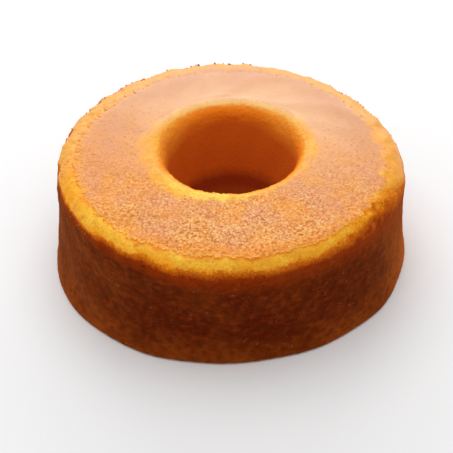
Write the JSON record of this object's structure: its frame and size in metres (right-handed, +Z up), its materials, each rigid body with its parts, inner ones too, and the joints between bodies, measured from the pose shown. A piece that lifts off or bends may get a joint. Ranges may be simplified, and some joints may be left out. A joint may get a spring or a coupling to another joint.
{
  "type": "cornmeal cake",
  "caption": "Round cornmeal cake with a tapered hole through it, turned out upside down: flat browned skin on top, golden shoulder, dark baked sides.",
  "frame": {"origin": "centre of the box round the cake, at the height of the surface it stands on", "axes": "+Z up out of the flat browned top, +Y away from the side shown nearest in the picture, +X to the right of that side"},
  "size_m": [0.2142, 0.2144, 0.0723],
  "materials": {
    "crust": null
  },
  "bodies": {
    "root": {"cake": "crust"}
  },
  "joints": []
}
